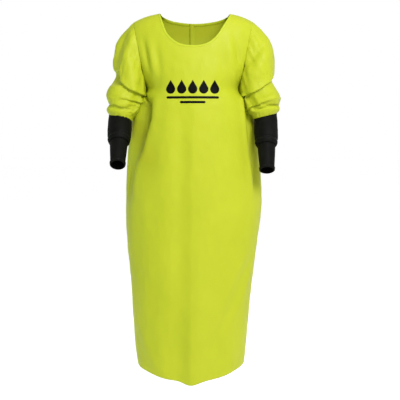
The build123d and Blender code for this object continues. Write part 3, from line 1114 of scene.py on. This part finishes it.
def make_emblem(tree):
    """A row of drops over two bars, printed in black."""
    r, h = DROP_RADIUS, BAR_HEIGHT
    parts = []
    for i in range(DROP_COUNT):
        x = DROP_SPACING * (i - (DROP_COUNT - 1) / 2)
        parts.append(printed_patch(tree, x, DROP_Z, r * 1.1, -1.1 * r, 2.1 * r, drop_field, 1.6 * MM))
    for top, half in BARS:

        def field(x, z):
            return bar_field(x, z, half)

        parts.append(printed_patch(tree, 0.0, top - h / 2, half * 1.02, -0.6 * h, 0.6 * h, field, 1.2 * MM))
    whole = bmesh.new()
    for bm in parts:
        mesh = bpy.data.meshes.new("print_part")
        bm.to_mesh(mesh)
        bm.free()
        whole.from_mesh(mesh)
        bpy.data.meshes.remove(mesh)
    return finish_cloth("emblem_print", whole, PRINT)


def rounded_box_field(p, x0, x1, z0, z1, radius):
    dx = max(x0 + radius - p.x, p.x - (x1 - radius), 0.0)
    dz = max(z0 + radius - p.z, p.z - (z1 - radius), 0.0)
    return math.hypot(dx, dz) - radius


def back_sheet(name, x0, x1, z0, z1, lift, thickness, radius, cell=2.0 * MM):
    """A rounded flat piece lying over the back, lift out of it. lift may vary with x."""
    xs = np.linspace(x0 - 0.001, x1 + 0.001, int((x1 - x0) / cell) + 2)
    zs = np.linspace(z1 + 0.001, z0 - 0.001, int((z1 - z0) / cell) + 2)
    grid_x, grid_z = np.meshgrid(xs, zs)
    y = body_y(grid_x, grid_z, True)
    slope = np.gradient(y, xs, axis=1)
    length = np.sqrt(1 + slope**2)
    raise_by = lift(grid_x) if callable(lift) else lift
    points = np.stack([grid_x - slope / length * raise_by, y + raise_by / length, grid_z], 2)
    bm = grid_bmesh(points[:, ::-1], strip_uv(points))
    trim(bm, lambda p: rounded_box_field(p, x0, x1, z0, z1, radius))
    weld_edge(bm)
    bmesh.ops.recalc_face_normals(bm, faces=bm.faces)
    bm.normal_update()
    if sum(f.normal.y for f in bm.faces) < 0:
        bmesh.ops.reverse_faces(bm, faces=bm.faces)
    tree = BVHTree.FromBMesh(bm)
    return finish_cloth(name, bm, thickness), tree


def tab_lift(x):
    """The tab lies on the left panel at its root and over both patches at its tip."""
    low = CLOTH / 2 + TAB_WALL / 2 + 0.0002
    high = CLOTH / 2 + 2 * PATCH + PATCH_GAP + TAB_WALL / 2
    return high + (low - high) * smoothstep(PATCH_X[1], 0.010, x)


def rounded_line(x0, x1, z0, z1, y_lift):
    """A closed rectangle on the back, for stitches."""
    corners = [(x0, z0), (x1, z0), (x1, z1), (x0, z1), (x0, z0)]
    line = resample(np.array(corners), 120)
    y = body_y(line[:, 0], line[:, 1], True) + y_lift
    return np.stack([line[:, 0], y, line[:, 1]], 1)


def make_tab(name):
    """A tab, the patches under it and its stitches: round the rim, round the root and across that."""
    bottom, top = TABS[name]
    whole = (TAB_TIP_X, TAB_ROOT_X, bottom, top)
    tab, tree = back_sheet(f"{name}_tab_cloth", *whole, tab_lift, TAB_WALL, TAB_RADIUS)
    patch = (*PATCH_X, bottom + PATCH_MARGIN, top - PATCH_MARGIN)
    loop_lift = CLOTH / 2 + PATCH / 2
    hook_lift = CLOTH / 2 + PATCH + PATCH_GAP + PATCH / 2
    loop, _ = back_sheet(f"{name}_loop_pile", *patch, loop_lift, PATCH, PATCH_RADIUS)
    hook, _ = back_sheet(f"{name}_hook_pile", *patch, hook_lift, PATCH, PATCH_RADIUS)
    end, low, high = TAB_ROOT_X - TAB_STITCH_INSET, bottom + TAB_STITCH_INSET, top - TAB_STITCH_INSET
    rows = [
        rounded_line(TAB_SEWN_X, end, low, high, 0.002),
        rounded_line(TAB_TIP_X + 0.004, end, low, high, 0.003),
    ]
    for z0, z1 in ((low, high), (high, low)):
        x, z = np.linspace(TAB_SEWN_X, end, 20), np.linspace(z0, z1, 20)
        rows.append(np.stack([x, body_y(x, z, True) + 0.002, z], 1))
    threads = stitches(f"{name}_tab_stitches", rows, tree, TAB_WALL / 2)
    return {"tab": tab, "loop": loop, "hook": hook, "threads": threads}


def offset_line(line, tree, distance, towards):
    """A line moved over the cloth by distance, on the side nearer to a direction."""
    moved = []
    for point, along in zip(line, np.gradient(line, axis=0)):
        across = crosswise(tree, point, along)
        if np.dot(across, towards(point)) < 0:
            across = -across
        place, _ = cloth_normal(tree, point + across * distance)
        moved.append(place)
    return np.array(moved)


def evenly(line, step=0.004):
    return resample(line, max(int(running_length(line)[-1] / step), 4))


def level_line(points, column, top, bottom):
    """One column of the body between two heights."""
    line = points[:, CENTRE + column]
    return line[(line[:, 2] < top) & (line[:, 2] > bottom)]


def shoulder_line(points, side):
    line = points[:, CENTRE + SIDES[side] * FRONT_COLUMNS]
    keep = (np.abs(line[:, 0]) < armhole_x(line[:, 2]) - 0.002) & (line[:, 2] > -0.1)
    return line[keep & (np.abs(line[:, 0]) > 0.140)]


# ---- trims laid on the body ----
def neck_lines(body):
    """The neck edge of the torso, from the left side to the right one."""
    front = body["front_cloth"]["lines"]["neck"][0]
    if front[0, 0] < front[-1, 0]:
        front = front[::-1]
    left = body["left_side_cloth"]["lines"]["neck"]
    right = body["right_side_cloth"]["lines"]["neck"]
    parts = [front]
    if left:
        parts.insert(0, left[0][np.argsort(-left[0][:, 1])])
    if right:
        parts.append(right[0][np.argsort(right[0][:, 1])])
    return np.concatenate(parts)


def hem_band(points):
    """Lines above the front's hem: the one its facing lies along, and the two that its stitches follow."""
    columns = points[:, CENTRE - FRONT_COLUMNS + 1 : CENTRE + FRONT_COLUMNS]

    def above(height):
        line = []
        for column in columns.transpose(1, 0, 2):
            gap = column[:, 2] - hem_z(column[:, 0]) - height
            i = int(np.argmax(gap < 0))
            part = gap[i - 1] / (gap[i - 1] - gap[i])
            line.append(column[i - 1] + part * (column[i] - column[i - 1]))
        return np.array(line)

    return [above(height) for height in HEM_ROWS]


def make_trims(body, points, uv):
    """Bindings, tapes and topstitching of the body."""
    whole = grid_bmesh(points, uv)
    tree = BVHTree.FromBMesh(whole)
    whole.free()
    trims = {}

    def bind(line, tape_name, thread_name, width, inset):
        edge = evenly(line)
        trims[tape_name] = edge_binding(tape_name, edge, tree, width)
        row = offset_line(edge, tree, inset, lambda p: p - NECK_HOLE)
        sew(thread_name, [row], BINDING_RISE + BINDING_WALL / 2)

    def tape(name, line, width=TAPE_WIDTH, wall=TAPE_WALL, columns=4):
        trims[name] = laid_strip(name, line, tree, width, TAPE_LIFT, wall, columns)

    def sew(name, rows, lift=CLOTH / 2):
        trims[name] = stitches(name, rows, tree, lift)

    def beside(line, distance, *direction):
        return offset_line(line, tree, distance, lambda p: np.array(direction))

    bind(neck_lines(body), "neck_binding_tape", "neck_stitches", *NECK_BINDING)
    for side in SIDES:
        line = body[f"{side}_back_cloth"]["lines"]["neck"][0]
        bind(line, f"{side}_back_binding_tape", f"{side}_back_neck_stitches", *BACK_BINDING)
    for side, sign in SIDES.items():
        shoulder = evenly(shoulder_line(points, side))
        tape(f"{side}_shoulder_seam_tape", shoulder)
        tape(f"{side}_side_seam_tape", evenly(level_line(points, sign * FRONT_COLUMNS, *SIDE_TAPE), 0.008))
        sew(f"{side}_shoulder_stitches", [beside(shoulder, 0.003, 0.0, y, 0.0) for y in (-1.0, 1.0)])
        armhole = evenly(body["front_cloth"]["lines"][side][0][6:-6])
        sew(f"{side}_armhole_stitches", [beside(armhole, 0.0035, -sign, 0.0, 0.0)])
    facing, *rows = hem_band(points)
    tape("hem_facing", evenly(facing), FACING_WIDTH, FACING_WALL, 6)
    sew("hem_stitches", rows)
    return trims


# ---- materials ----
WEAVE = 0.8 * MM  # pitch of the coated cloth's threads
KNIT = 1.1 * MM
RIB = 2.0 * MM
WHITE = (1.0, 1.0, 1.0, 1.0)


def add_node(tree, kind, **settings):
    node = tree.nodes.new(kind)
    for key, value in settings.items():
        if key in node.inputs:
            node.inputs[key].default_value = value
        else:
            setattr(node, key, value)
    return node


def math_node(tree, operation, first, second=None):
    node = tree.nodes.new("ShaderNodeMath")
    node.operation = operation
    for socket, value in zip(node.inputs, (first, second)):
        if value is None:
            continue
        if isinstance(value, (int, float)):
            socket.default_value = value
        else:
            tree.links.new(value, socket)
    return node.outputs[0]


def cloth_place(tree):
    """Flat-cloth coordinates, in metres."""
    place = add_node(tree, "ShaderNodeAttribute", attribute_name="cloth")
    split = tree.nodes.new("ShaderNodeSeparateXYZ")
    tree.links.new(place.outputs["Vector"], split.inputs[0])
    return place.outputs["Vector"], split.outputs[0], split.outputs[1]


def object_place(tree):
    place = tree.nodes.new("ShaderNodeTexCoord")
    return place.outputs["Object"]


def noise_of(tree, place, scale, detail=3.0, roughness=0.5):
    node = add_node(tree, "ShaderNodeTexNoise", Scale=scale, Detail=detail, Roughness=roughness)
    tree.links.new(place, node.inputs["Vector"])
    return node.outputs["Fac"]


def remapped(tree, value, low, high, low_at=0.3, high_at=0.7):
    node = tree.nodes.new("ShaderNodeMapRange")
    for socket, end in (("To Min", low), ("To Max", high), ("From Min", low_at), ("From Max", high_at)):
        node.inputs[socket].default_value = end
    tree.links.new(value, node.inputs["Value"])
    return node.outputs["Result"]


def bumped(tree, height, strength, distance, under=None):
    node = add_node(tree, "ShaderNodeBump", Strength=strength, Distance=distance)
    tree.links.new(height, node.inputs["Height"])
    if under is not None:
        tree.links.new(under, node.inputs["Normal"])
    return node.outputs["Normal"]


def mixed_colour(tree, factor, first, second):
    node = tree.nodes.new("ShaderNodeMix")
    node.data_type = "RGBA"
    sockets = [s for s in node.inputs if s.name in ("A", "B") and s.type == "RGBA"]
    for socket, colour in zip(sockets, (first, second)):
        socket.default_value = (*colour, 1.0)
    tree.links.new(factor, node.inputs["Factor"])
    return [s for s in node.outputs if s.type == "RGBA"][0]


def new_shader(name, **sockets):
    """A principled material. Its sockets are named with _ for each space."""
    material = bpy.data.materials.new(name)
    material.use_nodes = True
    tree = material.node_tree
    shader = tree.nodes["Principled BSDF"]
    for socket, value in sockets.items():
        shader.inputs[socket.replace("_", " ")].default_value = value
    return material, tree, shader


def link_shader(tree, shader, **sockets):
    for socket, value in sockets.items():
        tree.links.new(value, shader.inputs[socket.replace("_", " ")])


def cloth_shader(name, scale, deep, bright, detail=4.0, **sockets):
    """A material whose colour drifts between two over the flat cloth."""
    material, tree, shader = new_shader(name, **sockets)
    places = cloth_place(tree)
    tone = noise_of(tree, places[0], scale, detail)
    link_shader(tree, shader, Base_Color=mixed_colour(tree, remapped(tree, tone, 0.0, 1.0), deep, bright))
    return material, tree, shader, places, tone


def weave_height(tree, u, v, pitch):
    """Over-and-under threads of a plain weave."""
    turn = 2 * math.pi / pitch
    warp = math_node(tree, "SINE", math_node(tree, "MULTIPLY", u, turn))
    weft = math_node(tree, "SINE", math_node(tree, "MULTIPLY", v, turn))
    return math_node(tree, "MULTIPLY", warp, weft)


def coated_cloth(name, bright, deep, roughness=(0.48, 0.60)):
    """Coated nylon: a fine weave under a satin film, with small crinkles and faint rubbed patches."""
    film = {"Specular_IOR_Level": 0.20, "Coat_Weight": 0.02, "Coat_Roughness": 0.35}
    material, tree, shader, (place, u, v), _ = cloth_shader(name, 7.0, deep, bright, **film)
    rubbed = noise_of(tree, place, 38.0, 5.0, 0.6)
    crinkle = bumped(tree, noise_of(tree, place, 46.0, 5.0, 0.55), 0.28, 1.2 * MM)
    threads = bumped(tree, weave_height(tree, u, v, WEAVE), 0.10, 0.06 * MM, crinkle)
    link_shader(tree, shader, Roughness=remapped(tree, rubbed, *roughness), Normal=threads)
    return material


def neoprene(name):
    """Black foam rubber faced with a fine jersey knit."""
    tones = (0.0030, 0.0032, 0.0024), (0.0060, 0.0062, 0.0048)
    material, tree, shader, (place, u, v), _ = cloth_shader(name, 30.0, *tones, Specular_IOR_Level=0.07)
    worn = noise_of(tree, place, 60.0, 4.0)
    foam = bumped(tree, noise_of(tree, place, 120.0, 3.0), 0.25, 0.5 * MM)
    knit = bumped(tree, weave_height(tree, u, v, KNIT), 0.22, 0.12 * MM, foam)
    link_shader(tree, shader, Roughness=remapped(tree, worn, 0.55, 0.70), Normal=knit)
    return material


def printed_black(name):
    """A thin transfer print: smooth, with the fabric's weave just showing through."""
    tones = (0.0015, 0.0015, 0.0015), (0.0035, 0.0035, 0.0035)
    material, tree, shader, (_, u, v), tone = cloth_shader(name, 90.0, *tones, Specular_IOR_Level=0.06)
    under = bumped(tree, weave_height(tree, u, v, WEAVE), 0.08, 0.05 * MM)
    link_shader(tree, shader, Roughness=remapped(tree, tone, 0.45, 0.6), Normal=under)
    return material


def ribbed_elastic(name):
    tones = (0.50, 0.57, 0.05), (0.60, 0.68, 0.07)
    material, tree, shader, (_, u, _), _ = cloth_shader(name, 60.0, *tones, detail=3.0, Roughness=0.75)
    rib = math_node(tree, "SINE", math_node(tree, "MULTIPLY", u, 2 * math.pi / RIB))
    link_shader(tree, shader, Normal=bumped(tree, rib, 0.5, 0.3 * MM))
    return material


def hook_and_loop(name):
    """Black pile: a dense field of tiny loops, with painted shade in the pits between them."""
    material, tree, shader = new_shader(name, Roughness=0.85, Sheen_Weight=0.4)
    cells = add_node(tree, "ShaderNodeTexVoronoi", Scale=1400.0)
    tree.links.new(object_place(tree), cells.inputs["Vector"])
    height = cells.outputs["Distance"]
    # Painted shade: the colour is darker where the bump is low, in the pits between the loops.
    shade = mixed_colour(tree, height, (0.006, 0.006, 0.007), (0.030, 0.030, 0.032))
    link_shader(tree, shader, Base_Color=shade, Normal=bumped(tree, height, 0.8, 0.4 * MM))
    return material


def thread(name, colour):
    """Twisted sewing thread, with painted shade in the grooves of its twist."""
    material, tree, shader = new_shader(name, Roughness=0.55)
    twist = add_node(tree, "ShaderNodeTexWave", Scale=420.0, Distortion=1.5, bands_direction="DIAGONAL")
    tree.links.new(object_place(tree), twist.inputs["Vector"])
    height = twist.outputs["Fac"]
    # Painted shade: the colour is darker where the twist's bump is low, in its grooves.
    shade = mixed_colour(tree, height, tuple(0.8 * c for c in colour), colour)
    link_shader(tree, shader, Base_Color=shade, Normal=bumped(tree, height, 0.4, 0.1 * MM))
    return material


# ---- stage ----
ROOM_SHADE = (0.46, 0.64)  # brightness of the room on the object's right and on its left
# Square lights: place, what each looks at, size, power and colour. The fill is the light that the room's green
# side throws back.
LIGHTS = {
    "key": ((1.05, -2.6, 1.35), (0.0, 0.0, -0.45), 1.1, 91.0, WHITE[:3]),
    "fill": ((-3.0, -0.9, -0.35), (0.0, 0.0, -0.50), 1.4, 9.0, (0.50, 1.0, 0.40)),
    "rear": ((0.0, 3.6, 0.2), (0.0, 0.0, -0.60), 1.5, 34.0, WHITE[:3]),
}
FLOOR_Z = -1.42
FLOOR_REACH = 60.0
CAMERA_PLACE = (0.0245, -3.4, -0.45)
CAMERA_TARGET = (0.0245, 0.0, -0.646)
CAMERA_LENS = 87.43


def make_floor():
    """A pale floor that glows behind the object, where the photo's ground is plain white."""
    mesh = bpy.data.meshes.new("floor")
    reach, z = FLOOR_REACH, FLOOR_Z
    corners = [(-reach, -reach, z), (reach, -reach, z), (reach, reach, z), (-reach, reach, z)]
    mesh.from_pydata(corners, [], [(0, 1, 2, 3)])
    floor = new_object("floor", mesh)
    sockets = {"Base_Color": (0.80, 0.80, 0.80, 1.0), "Roughness": 0.9, "Emission_Color": WHITE}
    material, tree, shader = new_shader("pale_floor", **sockets)
    split = tree.nodes.new("ShaderNodeSeparateXYZ")
    tree.links.new(object_place(tree), split.inputs[0])
    glow = remapped(tree, split.outputs[1], 0.0, 0.52, low_at=-0.9, high_at=0.22)
    link_shader(tree, shader, Emission_Strength=glow)
    floor.data.materials.append(material)


def aim(obj, place, target):
    obj.location = place
    obj.rotation_euler = (Vector(target) - Vector(place)).to_track_quat("-Z", "Y").to_euler()


def add_light(name, place, target, size, power, colour):
    light = bpy.data.lights.new(name, "AREA")
    light.shape = "SQUARE"
    light.size = size
    light.energy = power
    light.color = colour
    aim(new_object(name, light), place, target)


def make_world():
    """White paper behind the object, and a dimmer room before it that is darkest on its right."""
    world = bpy.data.worlds.new("studio")
    world.use_nodes = True
    tree = world.node_tree
    sky = tree.nodes["Background"]
    place = tree.nodes.new("ShaderNodeTexCoord")
    split = tree.nodes.new("ShaderNodeSeparateXYZ")
    tree.links.new(place.outputs["Generated"], split.inputs[0])
    across = remapped(tree, split.outputs[0], *ROOM_SHADE, low_at=-0.9, high_at=0.6)
    behind = remapped(tree, split.outputs[1], 0.0, 1.0, low_at=0.82, high_at=0.95)
    paper = math_node(tree, "MULTIPLY", math_node(tree, "SUBTRACT", 1.0, across), behind)
    level = math_node(tree, "ADD", across, paper)
    tree.links.new(level, sky.inputs["Strength"])
    sky.inputs["Color"].default_value = WHITE
    bpy.context.scene.world = world


def make_stage():
    make_floor()
    make_world()
    bpy.context.scene.view_settings.view_transform = "Standard"
    for name, light in LIGHTS.items():
        add_light(name, *light)


def make_camera():
    camera = bpy.data.cameras.new("camera")
    camera.sensor_width = 36.0
    camera.lens = CAMERA_LENS
    obj = new_object("camera", camera)
    aim(obj, CAMERA_PLACE, CAMERA_TARGET)
    bpy.context.scene.camera = obj


# ---- assembly ----
BACK_BLEND = (0.130, 0.080)  # distances from the middle that mark where the back cloths would bend
BACK_BEND_Z = -0.64
ELBOW_BLEND = (-0.018, 0.030)  # distances from its top that mark where the forearm sleeve would bend
SHOULDER_BEND = 0.085  # distance outboard of the armhole that marks where the sleeve would bend


def back_bend(side):
    start, end = ((SIDES[side] * x, HINGE_Y, BACK_BEND_Z) for x in BACK_BLEND)
    return "torso", f"{side}_back", start, end


def sleeve_bend(side):
    """The torso and the arm, and two points outboard of the armhole that mark where the sleeve would bend
    between them.
    """
    (top_x, top_z), (bottom_x, bottom_z) = ARMHOLE_TOP, ARMHOLE_BOTTOM
    run = Vector((top_x - bottom_x, 0.0, top_z - bottom_z)).normalized()
    out = Vector((run.z, 0.0, -run.x))
    middle = Vector(((top_x + bottom_x) / 2, 0.0, (top_z + bottom_z) / 2))
    places = (middle + distance * out for distance in (0.001, SHOULDER_BEND))
    start, end = (Vector((SIDES[side] * p.x, p.y, p.z)) for p in places)
    return "torso", f"{side}_arm", start, end


def forearm_bend(side):
    down, top = Vector(forearm_way(side)[0]), Vector(forearm_top(side))
    start, end = (top + distance * down for distance in ELBOW_BLEND)
    return f"{side}_arm", f"{side}_forearm", start, end


def put(obj, look, moves, node=None):
    """Dresses a piece, has it ride one body or, where it is given two bodies to bend between, bakes its place,
    and hides the node that it replaces.
    """
    material, slot = look
    obj.data.materials.clear()
    obj.data.materials.append(material)
    if isinstance(moves, str):
        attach(obj, moves)
    else:
        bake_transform(obj)
    if node:
        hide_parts(node)
    return obj


def make_looks():
    """The material of each look and the name of a slot given with it."""
    yellow_thread = thread("yellow_thread", (0.47, 0.54, 0.022))
    yellow = coated_cloth("yellow_coated_nylon", (0.475, 0.525, 0.020), (0.445, 0.500, 0.017))
    binding = coated_cloth("binding_tape", (0.49, 0.565, 0.020), (0.455, 0.525, 0.017), (0.45, 0.6))
    sealing = coated_cloth("sealing_tape", (0.50, 0.57, 0.09), (0.46, 0.53, 0.08), (0.3, 0.4))
    return {
        "yellow": (yellow, "yellow_fabric"),
        "binding": (binding, "binding_tape"),
        "sealing": (sealing, "seam_tape"),
        "yellow_thread": (yellow_thread, "yellow_fabric"),
        "binding_thread": (yellow_thread, "binding_tape"),
        "black_thread": (thread("black_thread", (0.016, 0.016, 0.015)), "black_neoprene"),
        "rubber": (neoprene("black_neoprene"), "black_neoprene"),
        "pile": (hook_and_loop("black_pile"), "hook_and_loop"),
        "elastic": (ribbed_elastic("ribbed_elastic"), "elastic"),
        "print": (printed_black("black_transfer_print"), "black_print"),
    }


def put_front(body, trims, emblem, looks):
    front = put(body["front_cloth"]["obj"], looks["yellow"], "torso", "front_panel")
    put(emblem, looks["print"], "torso", "printed_emblem")
    laid = {
        "neck_binding_tape": ("binding", "neck_binding"),
        "hem_facing": ("sealing", "front_hem_tape"),
        "neck_stitches": ("binding_thread", None),
        "hem_stitches": ("yellow_thread", None),
    }
    for side in SIDES:
        laid[f"{side}_shoulder_seam_tape"] = ("sealing", f"{side}_shoulder_tape")
        laid[f"{side}_side_seam_tape"] = ("sealing", f"{side}_side_tape")
        laid[f"{side}_shoulder_stitches"] = ("yellow_thread", None)
        laid[f"{side}_armhole_stitches"] = ("yellow_thread", None)
    on_front = [put(trims[name], looks[look], "torso", node) for name, (look, node) in laid.items()]


def put_side(side, body, trims, looks):
    """One side's panels, sleeve and forearm sleeve."""
    yellow, rubber = looks["yellow"], looks["rubber"]
    panel = put(body[f"{side}_side_cloth"]["obj"], yellow, "torso", f"{side}_side_panel")
    bend = back_bend(side)
    back = put(body[f"{side}_back_cloth"]["obj"], yellow, bend, f"{side}_back_panel")
    edge = put(trims[f"{side}_back_binding_tape"], looks["binding"], bend, f"{side}_back_binding")
    threads = put(trims[f"{side}_back_neck_stitches"], looks["binding_thread"], bend)

    cloth, grid = make_sleeve(body, side)
    bend = sleeve_bend(side)
    put(cloth, yellow, bend, f"{side}_sleeve")
    band = put(make_elastic(side, grid), looks["elastic"], bend, f"{side}_sleeve_elastic")

    forearm = make_forearm(side)
    arm = f"{side}_forearm"
    tube = put(forearm["sleeve"], rubber, forearm_bend(side), f"{side}_forearm_sleeve")
    cuff = put(forearm["cuff"], rubber, arm, f"{side}_wrist_cuff")
    band = put(forearm["band"], rubber, arm, f"{side}_cuff_band")
    upper, lower = (put(threads, looks["black_thread"], arm) for threads in forearm["threads"])


def put_tab(name, tab, looks):
    closure = f"{name}_closure"
    cloth = put(tab["tab"], looks["yellow"], closure, f"{name}_tab")
    hook = put(tab["hook"], looks["pile"], closure, f"{name}_hook_patch")
    put(tab["loop"], looks["pile"], "right_back", f"{name}_loop_patch")
    threads = put(tab["threads"], looks["yellow_thread"], closure)


def assemble():
    body, points, uv = make_body()
    trims = make_trims(body, points, uv)
    emblem = make_emblem(body["front_cloth"]["tree"])
    tabs = {name: make_tab(name) for name in TABS}
    looks = make_looks()
    put_front(body, trims, emblem, looks)
    for side in SIDES:
        put_side(side, body, trims, looks)
    for name, tab in tabs.items():
        put_tab(name, tab, looks)


make_camera()
make_stage()
assemble()
bpy.context.view_layer.update()
